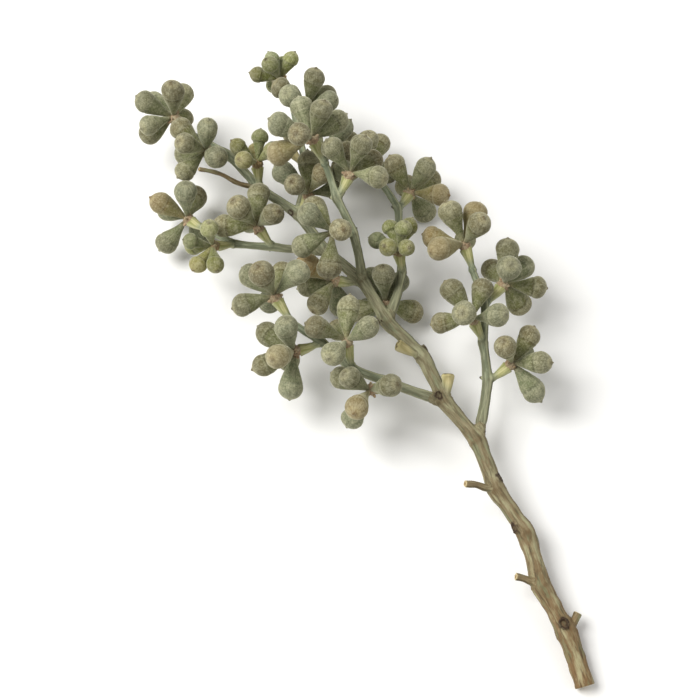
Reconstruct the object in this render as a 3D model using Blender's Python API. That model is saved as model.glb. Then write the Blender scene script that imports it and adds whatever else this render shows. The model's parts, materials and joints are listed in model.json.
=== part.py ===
# Eucalyptus gum nut sprig, as cut, lying on a table.
#
# A crooked woody stem carries six side shoots, and stem and shoots end in flared stalks.
# Each stalk bears an umbel: a small pad with club-shaped nuts that stand out round it.
# The sprig grows along +Y, its face looks up along +Z, and it rests on the plane z = 0.

import math
import random

import bmesh
import bpy
from mathutils import Euler, Matrix, Quaternion, Vector

MM = 0.001
SEED = 7

# Growth. A limb has a node at the end of each internode, and its path bends a little there.
STEM_INTERNODE = 27 * MM
SHOOT_INTERNODE = 21 * MM
STEPS_PER_INTERNODE = 3
ZIGZAG_DEG = 8
NODE_SWELLING = 1.18
LIMB_SIDES = 7
GAP = 0.3 * MM  # between two nodes of the model that the plant joins without a seam

# Branch collar: the short flared twig on the stem that a shoot starts from. Snags flare too.
COLLAR_FLARE = 1.12
COLLAR_MARGIN = 1 * MM
SNAG_SIDES = 6

# Flared stalk under an umbel: a flattened section that widens towards the pad.
STALK_SIDES = 6
STALK_STATIONS = 3
STALK_WIDTH = (1.5 * MM, 3.7 * MM)
STALK_THICKNESS = (1.3 * MM, 2.2 * MM)
STALK_FLARE = 1.4
STALK_BEND_DEG = 16
STALK_ROOT = 2.5 * MM  # how deep a stalk at a limb's tip starts inside the limb

# Pad at the top of a stalk, which the nuts grow from.
PAD_SIDES = 7
PAD_RADIUS = 3.1 * MM
PAD_HEIGHT = 3.8 * MM
PAD_THICKNESS = 0.85  # against its width
PAD_CENTRE = 0.68  # share of the height at which the roots of the nuts meet
PAD_PROFILE = ((0.0, 0.86), (0.45, 1.0), (1.0, 0.55))  # share of the height, of the radius

# A nut: a club that tapers to its root, under a domed cap.
NUT_LENGTH = 24 * MM
NUT_RADIUS = 6.1 * MM
NUT_SIDES = 7
NUT_PROFILE = (  # share of the length, share of the radius
    (0.05, 0.17),
    (0.60, 0.85),
    (0.78, 1.00),
    (0.92, 0.76),
    (1.00, 0.20),
)
NUT_SIZES = (0.92, 1.07)

# How the nuts of an umbel stand: each turns on from the last and leans out further.
NARROWEST_TILT_DEG = 3
WIDEST_TILT_DEG = 94
TURN_DEG = 137.5
WOBBLE_DEG = 6

# Clearance, tested on balls along each nut. The first two may sink into the same umbel.
NUT_BALLS = ((0.24, 0.36), (0.42, 0.60), (0.60, 0.88), (0.78, 1.02), (0.92, 0.80))
CLEARANCE = 0.5 * MM
OWN_OVERLAP = 0.3 * MM
NEAR = 70 * MM
TRIES = 40

# Limbs: the limb they grow from and its node, the bearing and rise in degrees where they leave
# and where they end, how many internodes they have, and their radius in mm at each end.
# A bearing is to the right of straight up the sprig, and a rise is above the table.
STEM = "woody_stem"
LIMBS = {
    STEM: (None, 0, (12, 10), (-24, 3), 14, 5.0, 2.2),
    "shoot_low_right": (STEM, 5, (40, 14), (14, 14), 4, 2.8, 1.9),
    "shoot_low_left": (STEM, 6, (-48, 12), (-20, 12), 4, 2.7, 1.9),
    "shoot_mid_right": (STEM, 8, (46, 8), (6, -8), 4, 2.6, 1.9),
    "shoot_front": (STEM, 9, (12, 56), (-2, 20), 3, 2.5, 1.9),
    "shoot_high_left": (STEM, 10, (-60, 2), (-32, -10), 3, 2.3, 1.8),
    "shoot_high_right": (STEM, 11, (40, 16), (4, 12), 3, 2.3, 1.8),
}

# Umbels: the limb and node that the stalk grows from, its bearing and rise in degrees,
# the stalk's length in mm, the number of nuts, and their size against a full nut.
UMBELS = (
    ("shoot_low_right", 4, (10, 36), 13, 6, 1.00),
    ("shoot_low_right", 3, (80, 6), 13, 6, 1.02),
    ("shoot_low_right", 2, (-16, 58), 13, 5, 0.96),
    ("shoot_low_right", 1, (98, 22), 13, 5, 0.98),
    ("shoot_low_left", 4, (-14, 34), 14, 6, 1.02),
    ("shoot_low_left", 3, (-94, 4), 13, 6, 1.00),
    ("shoot_low_left", 2, (16, 56), 13, 5, 0.98),
    ("shoot_low_left", 1, (-112, 30), 13, 5, 0.96),
    ("shoot_mid_right", 4, (-4, 6), 13, 6, 0.98),
    ("shoot_mid_right", 3, (66, -16), 13, 6, 1.04),
    ("shoot_mid_right", 1, (20, 64), 12, 6, 0.76),
    ("shoot_front", 3, (-10, 46), 13, 7, 1.02),
    ("shoot_front", 2, (72, 34), 12, 5, 0.96),
    ("shoot_front", 1, (-92, 36), 12, 5, 1.00),
    ("shoot_high_left", 3, (-34, -14), 13, 6, 1.00),
    ("shoot_high_left", 2, (-100, 30), 12, 6, 0.76),
    ("shoot_high_left", 1, (-30, 54), 12, 5, 1.00),
    ("shoot_high_right", 3, (4, 22), 12, 7, 0.74),
    ("shoot_high_right", 2, (60, 30), 12, 6, 0.96),
    ("shoot_high_right", 1, (84, 6), 12, 5, 0.92),
    (STEM, 14, (-26, 10), 13, 7, 0.98),
    (STEM, 13, (-84, 34), 12, 6, 0.96),
    (STEM, 12, (30, 56), 12, 6, 0.76),
    (STEM, 11, (100, 62), 13, 5, 0.98),
    (STEM, 9, (-62, -12), 13, 6, 1.00),
    (STEM, 8, (30, -24), 12, 6, 0.98),
)

# Bare stalks, whose nuts have dropped: the limb and node, bearing and rise, and length in mm.
BARE_STALKS = (
    (STEM, 6, (42, 40), 14),
    (STEM, 7, (-58, 34), 16),
    ("shoot_high_right", 1, (-36, 44), 13),
)

# Snipped twigs: the limb and node, bearing and rise, length and radius in mm.
SNAGS = (
    (STEM, 1, (58, 10), 6, 2.2),
    (STEM, 2, (-50, 20), 9, 1.9),
    (STEM, 4, (-62, 26), 14, 1.8),
    (STEM, 12, (-62, 30), 34, 1.2),
)

# How the sprig settles on the table: it tips about X and Y and moves until its middle is at
# the origin. Its lowest points, the stem's end and a nut on either side, sink 0.25 mm below
# z = 0 there, and are cut flat.
TIP_DEG = (-2.06, 1.69)
SHIFT = (-2.17 * MM, -199.83 * MM, 4.26 * MM)

# Colours (linear RGB), roughness
WOOD = ((0.205, 0.145, 0.078), 0.75)
SHOOT = ((0.165, 0.180, 0.115), 0.65)
NUT = ((0.180, 0.190, 0.105), 0.70)
YOUNG_NUT = ((0.230, 0.250, 0.105), 0.65)
YOUNG_SIZE = 0.80  # umbels under this size are young ones
SHARP_DEG = 50


def heading(bearing, rise):
    """A unit direction from a bearing and a rise in degrees."""
    b, r = math.radians(bearing), math.radians(rise)
    return Vector((math.sin(b) * math.cos(r), math.cos(b) * math.cos(r), math.sin(r)))


def turned(direction, axis, degrees):
    """direction turned about axis."""
    return Quaternion(axis, math.radians(degrees)) @ direction


def frames_along(points):
    """A matrix at each point, with Z along the path and X carried along without twist."""
    across = Vector((0, 0, 1)).cross(points[1] - points[0]).normalized()
    frames = []
    for i, point in enumerate(points):
        ahead = points[min(i + 1, len(points) - 1)]
        behind = points[max(i - 1, 0)]
        along = (ahead - behind).normalized()
        across = (across - along * across.dot(along)).normalized()
        through = along.cross(across)
        frame = Matrix((across, through, along)).transposed().to_4x4()
        frames.append(Matrix.Translation(point) @ frame)
    return frames


class Limb:
    """A stem or shoot: its path, and its radius at each point."""

    def __init__(self, start, leaves, ends, internodes, internode, radius_start, radius_end):
        first, last = heading(*leaves), heading(*ends)
        steps = internodes * STEPS_PER_INTERNODE
        self.points = [start.copy()]
        for i in range(steps):
            direction = first.slerp(last, i / (steps - 1))
            number = i // STEPS_PER_INTERNODE
            if number > 0:
                kink = ZIGZAG_DEG if number % 2 else -ZIGZAG_DEG
                direction = turned(direction, Vector((0, 0, 1)), kink)
            self.points.append(self.points[-1] + direction * internode / STEPS_PER_INTERNODE)
        self.radii = []
        for i in range(steps + 1):
            radius = radius_start + (radius_end - radius_start) * i / steps
            at_node = i % STEPS_PER_INTERNODE == 0 and 0 < i < steps
            self.radii.append(radius * MM * (NODE_SWELLING if at_node else 1))

    def node(self, number):
        """Point, radius and direction at a node."""
        i = number * STEPS_PER_INTERNODE
        ahead = self.points[min(i + 1, len(self.points) - 1)]
        behind = self.points[max(i - 1, 0)]
        return self.points[i], self.radii[i], (ahead - behind).normalized()

    def root_of_stalk(self, number):
        """Where a stalk starts inside the limb."""
        point, _, along = self.node(number)
        at_tip = number * STEPS_PER_INTERNODE == len(self.points) - 1
        return point - along * STALK_ROOT if at_tip else point


def collar_length(parent_radius, own_radius, parent_direction, direction):
    """How far a branch collar reaches so that its flat end clears the parent's surface."""
    angle = parent_direction.angle(direction)
    return (parent_radius + own_radius * math.cos(angle)) / math.sin(angle) + COLLAR_MARGIN


def loft(name, rings, sides):
    """A closed body through rings, each a matrix and two radii in the matrix's X and Y."""
    bm = bmesh.new()
    loops = []
    for place, wide, thick in rings:
        outline = place @ Matrix.Diagonal((wide, thick, 1, 1))
        circle = bmesh.ops.create_circle(bm, segments=sides, radius=1, matrix=outline)
        loops.append({edge for vert in circle["verts"] for edge in vert.link_edges})
    for lower, upper in zip(loops, loops[1:]):
        bmesh.ops.bridge_loops(bm, edges=list(lower | upper))
    bmesh.ops.holes_fill(bm, edges=list(loops[0] | loops[-1]))
    bmesh.ops.recalc_face_normals(bm, faces=bm.faces)
    mesh = bpy.data.meshes.new(name)
    bm.to_mesh(mesh)
    bm.free()
    obj = bpy.data.objects.new(name, mesh)
    bpy.context.scene.collection.objects.link(obj)
    return obj


def limb_solid(name, limb):
    """A limb's tube with flat ends."""
    rings = [(frame, r, r) for frame, r in zip(frames_along(limb.points), limb.radii)]
    return loft(name, rings, LIMB_SIDES)


def straight_solid(name, start, direction, length, radii, sides=LIMB_SIDES):
    """A short straight tapered twig with a flat cut end."""
    frames = frames_along([start, start + direction * length])
    return loft(name, [(frame, r, r) for frame, r in zip(frames, radii)], sides)


def stalk_path(start, direction, length):
    """Points of a stalk, which bends a little towards the tip of the sprig."""
    points = [start.copy()]
    axis = direction.cross(Vector((0, 1, 0)))
    axis = axis.normalized() if axis.length > 0.05 else Vector((1, 0, 0))
    for i in range(STALK_STATIONS):
        turn = STALK_BEND_DEG * (i + 0.5) / STALK_STATIONS
        points.append(points[-1] + turned(direction, axis, turn) * length / STALK_STATIONS)
    return points


def stalk_half(sizes, station):
    """Half the width or thickness of a stalk at one of its stations."""
    return sizes[0] + (sizes[1] - sizes[0]) * (station / STALK_STATIONS) ** STALK_FLARE


def stalk_solid(name, points):
    """A flattened stalk that widens to its top."""
    rings = [
        (frame, stalk_half(STALK_WIDTH, i), stalk_half(STALK_THICKNESS, i))
        for i, frame in enumerate(frames_along(points))
    ]
    return loft(name, rings, STALK_SIDES)


def pad_solid(name, top, direction):
    """The low dome that the nuts grow from, flat underneath."""
    frame = frames_along([top, top + direction])[0]
    rings = []
    for rise, share in PAD_PROFILE:
        place = frame @ Matrix.Translation((0, 0, rise * PAD_HEIGHT))
        rings.append((place, PAD_RADIUS * share, PAD_RADIUS * share * PAD_THICKNESS))
    return loft(name, rings, PAD_SIDES)


def nut_solid(name, centre, direction, size, roll):
    """A nut whose root is at centre."""
    frame = frames_along([centre, centre + direction])[0] @ Matrix.Rotation(roll, 4, "Z")
    rings = []
    for along, share in NUT_PROFILE:
        place = frame @ Matrix.Translation((0, 0, along * NUT_LENGTH * size))
        rings.append((place, share * NUT_RADIUS * size, share * NUT_RADIUS * size))
    return loft(name, rings, NUT_SIDES)


def nut_balls(centre, direction, size):
    """Balls that stand for a nut where clearance is tested."""
    return [
        (centre + direction * along * NUT_LENGTH * size, share * NUT_RADIUS * size)
        for along, share in NUT_BALLS
    ]


def gap_to_ball(ball, other):
    """Distance between two balls, negative where they overlap."""
    return (ball[0] - other[0]).length - ball[1] - other[1]


def gap_to_rod(ball, rod):
    """Distance from a ball to a rod, which is two ends, each a point and a radius."""
    (a, radius_a), (b, radius_b) = rod
    nearest = (ball[0] - a).dot(b - a) / (b - a).length_squared
    nearest = min(max(nearest, 0), 1)
    radius = radius_a + (radius_b - radius_a) * nearest
    return (ball[0] - a.lerp(b, nearest)).length - ball[1] - radius


def rods_along(points, radii):
    """The rods of a limb or stalk where clearance is tested."""
    ends = list(zip(points, radii))
    return list(zip(ends, ends[1:]))


def grow_limbs():
    """All limbs, each starting where its collar ends, and the collars as twigs."""
    limbs, collars = {}, []
    for name, (parent, number, leaves, ends, internodes, r0, r1) in LIMBS.items():
        if parent is None:
            start = Vector((0, 0, 0))
            limbs[name] = Limb(start, leaves, ends, internodes, STEM_INTERNODE, r0, r1)
            continue
        point, radius, along = limbs[parent].node(number)
        direction = heading(*leaves)
        reach = collar_length(radius, r0 * MM, along, direction)
        collars.append((point, direction, reach, (r0 * MM * COLLAR_FLARE, r0 * MM)))
        start = point + direction * (reach + GAP)
        limbs[name] = Limb(start, leaves, ends, internodes, SHOOT_INTERNODE, r0, r1)
    return limbs, collars


def grow_umbels(limbs):
    """Stalk path, pad and centre of each umbel."""
    umbels = []
    for limb_name, number, leaves, length, count, size in UMBELS:
        root = limbs[limb_name].root_of_stalk(number)
        path = stalk_path(root, heading(*leaves), length * MM)
        direction = (path[-1] - path[-2]).normalized()
        foot = path[-1] + direction * GAP
        umbels.append(
            {
                "limb": limb_name,
                "stalk": path,
                "foot": foot,
                "direction": direction,
                "centre": foot + direction * PAD_HEIGHT * PAD_CENTRE,
                "count": count,
                "size": size,
            }
        )
    return umbels


def rods_of_wood(limbs, umbels, bare):
    """Rods of every limb and stalk, for clearance."""
    rods = []
    for limb in limbs.values():
        rods += rods_along(limb.points, limb.radii)
    for path in [umbel["stalk"] for umbel in umbels] + [path for _, path in bare]:
        wide = [stalk_half(STALK_WIDTH, i) for i in range(STALK_STATIONS + 1)]
        rods += rods_along(path, wide)
    for limb_name, number, leaves, length, radius in SNAGS:
        point, own_radius, _ = limbs[limb_name].node(number)
        tip = point + heading(*leaves) * (own_radius + length * MM)
        rods += rods_along([point, tip], [radius * MM, radius * MM])
    return rods


def grow_nuts(umbels, rods):
    """Direction, size and roll of each nut, clear of the wood and of all other nuts."""
    taken = []
    for number, umbel in enumerate(umbels):
        rng = random.Random(SEED * 100 + number)
        centre, own = umbel["centre"], []
        side = frames_along([centre, centre + umbel["direction"]])[0].to_3x3()
        pads = [
            ((other["foot"], PAD_RADIUS), (other["centre"], PAD_RADIUS))
            for other in umbels
            if other is not umbel
        ]
        near_rods = [rod for rod in rods + pads if (rod[0][0] - centre).length < NEAR]
        near_balls = [ball for ball in taken if (ball[0] - centre).length < NEAR]
        first_turn = rng.uniform(0, 360)
        for i in range(umbel["count"]):
            for attempt in range(TRIES):
                wobble = WOBBLE_DEG + attempt
                tilt = WIDEST_TILT_DEG * math.sqrt((i + 0.3) / (umbel["count"] - 0.5))
                tilt = tilt + rng.uniform(-wobble, wobble)
                tilt = math.radians(min(max(tilt, NARROWEST_TILT_DEG), WIDEST_TILT_DEG))
                turn = first_turn + i * TURN_DEG + rng.uniform(-wobble, wobble)
                turn = math.radians(turn)
                across = Vector((math.cos(turn), math.sin(turn), 0)) * math.sin(tilt)
                direction = side @ (across + Vector((0, 0, math.cos(tilt))))
                size = umbel["size"] * rng.uniform(*NUT_SIZES)
                balls = nut_balls(centre, direction, size)
                near_own = [ball for nut in own for ball in nut["balls"][2:]]
                if (
                    all(gap_to_rod(a, b) > CLEARANCE for a in balls for b in near_rods)
                    and all(gap_to_ball(a, b) > CLEARANCE for a in balls for b in near_balls)
                    and all(gap_to_ball(a, b) > -OWN_OVERLAP for a in balls[2:] for b in near_own)
                ):
                    roll = rng.uniform(0, 2 * math.pi)
                    own.append({"direction": direction, "size": size, "roll": roll, "balls": balls})
                    break
        umbel["nuts"] = own
        taken += [ball for nut in own for ball in nut["balls"]]


def fused(name, solids):
    """One object from solids that overlap, by a Boolean union on a collection."""
    base, others = solids[0], solids[1:]
    base.name = name
    if others:
        group = bpy.data.collections.new(name + "_repeats")
        for obj in others:
            group.objects.link(obj)
        union = base.modifiers.new("union", "BOOLEAN")
        union.operation = "UNION"
        union.operand_type = "COLLECTION"
        union.solver = "MANIFOLD"
        union.collection = group
        bpy.context.view_layer.update()
        joined = bpy.data.meshes.new_from_object(
            base.evaluated_get(bpy.context.evaluated_depsgraph_get())
        )
        base.modifiers.remove(union)
        base.data = joined
        for obj in others:
            bpy.data.objects.remove(obj)
        bpy.data.collections.remove(group)
        keep_outer_skin(base)
    return base


def keep_outer_skin(obj):
    """Removes the lining of any small hollow that the union closed among the parts."""
    bm = bmesh.new()
    bm.from_mesh(obj.data)
    shells, seen = [], set()
    for start in bm.verts:
        if start in seen:
            continue
        shell, open_ends = {start}, [start]
        while open_ends:
            vert = open_ends.pop()
            for edge in vert.link_edges:
                other = edge.other_vert(vert)
                if other not in shell:
                    shell.add(other)
                    open_ends.append(other)
        seen |= shell
        shells.append(shell)
    largest = max(shells, key=len)
    bmesh.ops.delete(bm, geom=[vert for vert in bm.verts if vert not in largest], context="VERTS")
    bm.to_mesh(obj.data)
    bm.free()


def settle(obj):
    """Lays a finished solid on the table and gives what would go below it a flat spot."""
    tip = Euler((math.radians(TIP_DEG[0]), math.radians(TIP_DEG[1]), 0)).to_matrix().to_4x4()
    obj.data.transform(Matrix.Translation(SHIFT) @ tip)
    bm = bmesh.new()
    bm.from_mesh(obj.data)
    if min(vert.co.z for vert in bm.verts) < 0:
        everything = bm.verts[:] + bm.edges[:] + bm.faces[:]
        cut = bmesh.ops.bisect_plane(
            bm, geom=everything, plane_co=(0, 0, 0), plane_no=(0, 0, 1), clear_inner=True
        )
        rim = [item for item in cut["geom_cut"] if isinstance(item, bmesh.types.BMEdge)]
        bmesh.ops.holes_fill(bm, edges=rim)
    bm.to_mesh(obj.data)
    bm.free()


def paint(obj, name, look):
    """Gives an object its material."""
    colour, roughness = look
    material = bpy.data.materials.get(name) or bpy.data.materials.new(name)
    material.use_nodes = True
    shader = material.node_tree.nodes["Principled BSDF"]
    shader.inputs["Base Color"].default_value = (*colour, 1)
    shader.inputs["Roughness"].default_value = roughness
    shader.inputs["Metallic"].default_value = 0
    obj.data.materials.clear()
    obj.data.materials.append(material)


def smooth(obj):
    """Rounds the shading, and keeps cut ends sharp."""
    obj.data.shade_smooth()
    obj.data.set_sharp_from_angle(angle=math.radians(SHARP_DEG))


def build_limbs(limbs, collars, umbels, bare):
    """The woody stem and the side shoots, each with the stalks that grow from it."""
    for name, limb in limbs.items():
        solids = [limb_solid(name, limb)]
        if name == STEM:
            for point, direction, reach, radii in collars:
                solids.append(straight_solid("collar", point, direction, reach, radii))
        for limb_name, number, leaves, length, radius in SNAGS:
            if limb_name == name:
                point, own_radius, _ = limb.node(number)
                radii = (radius * MM * COLLAR_FLARE, radius * MM)
                reach = own_radius + length * MM
                direction = heading(*leaves)
                solids.append(straight_solid("snag", point, direction, reach, radii, SNAG_SIDES))
        for umbel in umbels:
            if umbel["limb"] == name:
                solids.append(stalk_solid("stalk", umbel["stalk"]))
        for limb_name, path in bare:
            if limb_name == name:
                solids.append(stalk_solid("bare_stalk", path))
        obj = fused(name, solids)
        settle(obj)
        smooth(obj)
        if name == STEM:
            paint(obj, "bark", WOOD)
        else:
            paint(obj, "shoot", SHOOT)


def build_umbels(umbels):
    """Each umbel's pad and nuts, fused as they grow."""
    numbers = {"nut_umbel": 0, "young_umbel": 0}
    for umbel in umbels:
        kind = "young_umbel" if umbel["size"] < YOUNG_SIZE else "nut_umbel"
        numbers[kind] += 1
        name = f"{kind}_{numbers[kind]:02d}"
        solids = [pad_solid(name, umbel["foot"], umbel["direction"])]
        for nut in umbel["nuts"]:
            centre, direction = umbel["centre"], nut["direction"]
            solids.append(nut_solid("nut", centre, direction, nut["size"], nut["roll"]))
        obj = fused(name, solids)
        settle(obj)
        smooth(obj)
        if kind == "young_umbel":
            paint(obj, "young_nut", YOUNG_NUT)
        else:
            paint(obj, "gum_nut", NUT)


def main():
    for obj in list(bpy.data.objects):
        bpy.data.objects.remove(obj)
    limbs, collars = grow_limbs()
    umbels = grow_umbels(limbs)
    bare = [
        (limb_name, stalk_path(limbs[limb_name].node(number)[0], heading(*leaves), length * MM))
        for limb_name, number, leaves, length in BARE_STALKS
    ]
    grow_nuts(umbels, rods_of_wood(limbs, umbels, bare))
    print("nuts in each umbel:", [len(umbel["nuts"]) for umbel in umbels])
    build_limbs(limbs, collars, umbels, bare)
    build_umbels(umbels)


main()
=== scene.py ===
# Eucalyptus gum nut sprig, lying on a pale floor and seen from above.
# The growth below is the CAD part's own, so that each fine piece lies where its node is.

import json
import random
from math import atan, atan2, cos, pi, radians, sin, sqrt, tan

import bpy
import numpy as np
from mathutils import Euler, Matrix, Quaternion, Vector, noise
from mathutils.kdtree import KDTree

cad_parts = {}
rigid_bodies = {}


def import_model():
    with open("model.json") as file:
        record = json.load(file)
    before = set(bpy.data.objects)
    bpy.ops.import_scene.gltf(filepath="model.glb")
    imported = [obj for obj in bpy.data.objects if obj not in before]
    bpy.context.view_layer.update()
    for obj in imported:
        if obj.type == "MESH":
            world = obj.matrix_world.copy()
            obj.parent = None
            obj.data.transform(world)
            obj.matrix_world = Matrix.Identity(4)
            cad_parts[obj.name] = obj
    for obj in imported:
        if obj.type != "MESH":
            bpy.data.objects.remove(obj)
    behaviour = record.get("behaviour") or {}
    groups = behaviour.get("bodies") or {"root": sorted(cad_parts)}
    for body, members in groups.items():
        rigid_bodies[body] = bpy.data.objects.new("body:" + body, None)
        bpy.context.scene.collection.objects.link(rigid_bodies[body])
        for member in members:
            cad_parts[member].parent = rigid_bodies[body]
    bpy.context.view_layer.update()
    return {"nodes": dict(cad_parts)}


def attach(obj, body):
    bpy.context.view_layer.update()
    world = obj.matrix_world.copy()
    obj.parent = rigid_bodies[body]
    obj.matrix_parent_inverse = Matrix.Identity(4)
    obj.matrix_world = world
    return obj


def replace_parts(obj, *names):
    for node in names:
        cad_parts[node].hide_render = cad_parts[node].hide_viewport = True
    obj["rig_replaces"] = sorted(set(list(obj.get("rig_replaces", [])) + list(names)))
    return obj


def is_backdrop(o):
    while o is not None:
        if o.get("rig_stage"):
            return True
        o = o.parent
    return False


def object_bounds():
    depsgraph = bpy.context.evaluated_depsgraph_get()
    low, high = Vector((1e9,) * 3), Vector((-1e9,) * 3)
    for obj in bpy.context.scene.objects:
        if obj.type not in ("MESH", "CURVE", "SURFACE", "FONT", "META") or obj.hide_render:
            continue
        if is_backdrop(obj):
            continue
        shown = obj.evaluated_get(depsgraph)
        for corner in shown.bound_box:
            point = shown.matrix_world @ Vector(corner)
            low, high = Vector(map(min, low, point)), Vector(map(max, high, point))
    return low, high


for leftover in list(bpy.data.objects):
    bpy.data.objects.remove(leftover)
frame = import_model()
print("CAD nodes loaded:", len(frame["nodes"]))

mm = 0.001

growth = {
    "seed": 7,
    "stemInternode": 27 * mm,
    "shootInternode": 21 * mm,
    "steps": 3,  # to an internode
    "zigzagDeg": 8,
    "nodeSwelling": 1.18,
    "gap": 0.3 * mm,  # between two solids, where they grow together
    "collarFlare": 1.12,
    "collarMargin": 1 * mm,
}

stalkShape = {
    "width": (1.5 * mm, 3.7 * mm),  # half widths at the root and the top
    "thickness": (1.3 * mm, 2.2 * mm),
    "stations": 3,
    "flare": 1.4,
    "bendDeg": 16,
    "root": 2.5 * mm,
}

padShape = {"radius": 3.1 * mm, "height": 3.8 * mm, "thickness": 0.85, "centre": 0.68}

nutShape = {
    "length": 24 * mm,
    "radius": 6.1 * mm,
    "sizes": (0.92, 1.07),
    "tiltDeg": (3, 94),
    "turnDeg": 137.5,
    "wobbleDeg": 6,
    "balls": ((0.24, 0.36), (0.42, 0.60), (0.60, 0.88), (0.78, 1.02), (0.92, 0.80)),
    "clearance": 0.5 * mm,
    "ownOverlap": 0.3 * mm,
    "near": 70 * mm,
    "tries": 40,
    "youngSize": 0.80,
}

# where a limb grows, its first and last heading, internodes, and radius in mm at each end
stemName = "woody_stem"
limbTable = {
    stemName: (None, 0, (12, 10), (-24, 3), 14, 5.0, 2.2),
    "shoot_low_right": (stemName, 5, (40, 14), (14, 14), 4, 2.8, 1.9),
    "shoot_low_left": (stemName, 6, (-48, 12), (-20, 12), 4, 2.7, 1.9),
    "shoot_mid_right": (stemName, 8, (46, 8), (6, -8), 4, 2.6, 1.9),
    "shoot_front": (stemName, 9, (12, 56), (-2, 20), 3, 2.5, 1.9),
    "shoot_high_left": (stemName, 10, (-60, 2), (-32, -10), 3, 2.3, 1.8),
    "shoot_high_right": (stemName, 11, (40, 16), (4, 12), 3, 2.3, 1.8),
}

# for each limb: node, heading, stalk length in mm, number of nuts, size
umbelTable = {
    "shoot_low_right": ((4, (10, 36), 13, 6, 1.00), (3, (80, 6), 13, 6, 1.02),
                        (2, (-16, 58), 13, 5, 0.96), (1, (98, 22), 13, 5, 0.98)),
    "shoot_low_left": ((4, (-14, 34), 14, 6, 1.02), (3, (-94, 4), 13, 6, 1.00),
                       (2, (16, 56), 13, 5, 0.98), (1, (-112, 30), 13, 5, 0.96)),
    "shoot_mid_right": ((4, (-4, 6), 13, 6, 0.98), (3, (66, -16), 13, 6, 1.04),
                        (1, (20, 64), 12, 6, 0.76)),
    "shoot_front": ((3, (-10, 46), 13, 7, 1.02), (2, (72, 34), 12, 5, 0.96),
                    (1, (-92, 36), 12, 5, 1.00)),
    "shoot_high_left": ((3, (-34, -14), 13, 6, 1.00), (2, (-100, 30), 12, 6, 0.76),
                        (1, (-30, 54), 12, 5, 1.00)),
    "shoot_high_right": ((3, (4, 22), 12, 7, 0.74), (2, (60, 30), 12, 6, 0.96),
                         (1, (84, 6), 12, 5, 0.92)),
    stemName: ((14, (-26, 10), 13, 7, 0.98), (13, (-84, 34), 12, 6, 0.96),
               (12, (30, 56), 12, 6, 0.76), (11, (100, 62), 13, 5, 0.98),
               (9, (-62, -12), 13, 6, 1.00), (8, (30, -24), 12, 6, 0.98)),
}

# stalks whose nuts have dropped: limb and node, heading, length in mm
bareTable = (
    (stemName, 6, (42, 40), 14), (stemName, 7, (-58, 34), 16),
    ("shoot_high_right", 1, (-36, 44), 13),
)

# snipped twigs: limb and node, heading, length and radius in mm
snagTable = (
    (stemName, 1, (58, 10), 6, 2.2), (stemName, 2, (-50, 20), 9, 1.9),
    (stemName, 4, (-62, 26), 14, 1.8), (stemName, 12, (-62, 30), 34, 1.2),
)

# from the pose that it grows in to the one that it rests in
tipDeg = (-2.06, 1.69)
shift = (-2.17 * mm, -199.83 * mm, 4.26 * mm)


def heading(bearing, rise):
    b, r = radians(bearing), radians(rise)
    return Vector((sin(b) * cos(r), cos(b) * cos(r), sin(r)))


def turned(direction, axis, degrees):
    return Quaternion(axis, radians(degrees)) @ direction


def alongAt(points, i):
    return (points[min(i + 1, len(points) - 1)] - points[max(i - 1, 0)]).normalized()


def framesAlong(points):
    # Z runs along the path, and X is carried along without twist
    across = Vector((0, 0, 1)).cross(points[1] - points[0]).normalized()
    frames = []
    for i, point in enumerate(points):
        along = alongAt(points, i)
        across = (across - along * across.dot(along)).normalized()
        turn = Matrix((across, along.cross(across), along)).transposed().to_4x4()
        frames.append(Matrix.Translation(point) @ turn)
    return frames


def frameAt(place, direction):
    return framesAlong([place, place + direction])[0]


class Limb:
    def __init__(self, start, leaves, ends, internodes, internode, radiusStart, radiusEnd):
        first, last = heading(*leaves), heading(*ends)
        steps = internodes * growth["steps"]
        self.points = [start.copy()]
        for i in range(steps):
            direction = first.slerp(last, i / (steps - 1))
            number = i // growth["steps"]
            if number > 0:
                kink = growth["zigzagDeg"] if number % 2 else -growth["zigzagDeg"]
                direction = turned(direction, Vector((0, 0, 1)), kink)
            self.points.append(self.points[-1] + direction * internode / growth["steps"])
        self.radii = []
        for i in range(steps + 1):
            radius = radiusStart + (radiusEnd - radiusStart) * i / steps
            atNode = i % growth["steps"] == 0 and 0 < i < steps
            self.radii.append(radius * mm * (growth["nodeSwelling"] if atNode else 1))

    def node(self, number):
        i = number * growth["steps"]
        return self.points[i], self.radii[i], alongAt(self.points, i)

    def rootOfStalk(self, number):
        point, _, along = self.node(number)
        atTip = number * growth["steps"] == len(self.points) - 1
        return point - along * stalkShape["root"] if atTip else point


def stalkPath(start, direction, length):
    points = [start.copy()]
    axis = direction.cross(Vector((0, 1, 0)))
    # a stalk that runs along Y bends about X
    axis = axis.normalized() if axis.length > 0.05 else Vector((1, 0, 0))
    for i in range(stalkShape["stations"]):
        turn = stalkShape["bendDeg"] * (i + 0.5) / stalkShape["stations"]
        points.append(points[-1] + turned(direction, axis, turn) * length / stalkShape["stations"])
    return points


def stalkHalf(sizes, share):
    return sizes[0] + (sizes[1] - sizes[0]) * share ** stalkShape["flare"]


def stalkHalves(sizes):
    last = stalkShape["stations"]
    return [stalkHalf(sizes, i / last) for i in range(last + 1)]


def nutBalls(centre, direction, size):
    reach, radius = nutShape["length"] * size, nutShape["radius"] * size
    return [(centre + direction * along * reach, share * radius)
            for along, share in nutShape["balls"]]


def gapToBall(ball, other):
    return (ball[0] - other[0]).length - ball[1] - other[1]


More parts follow.
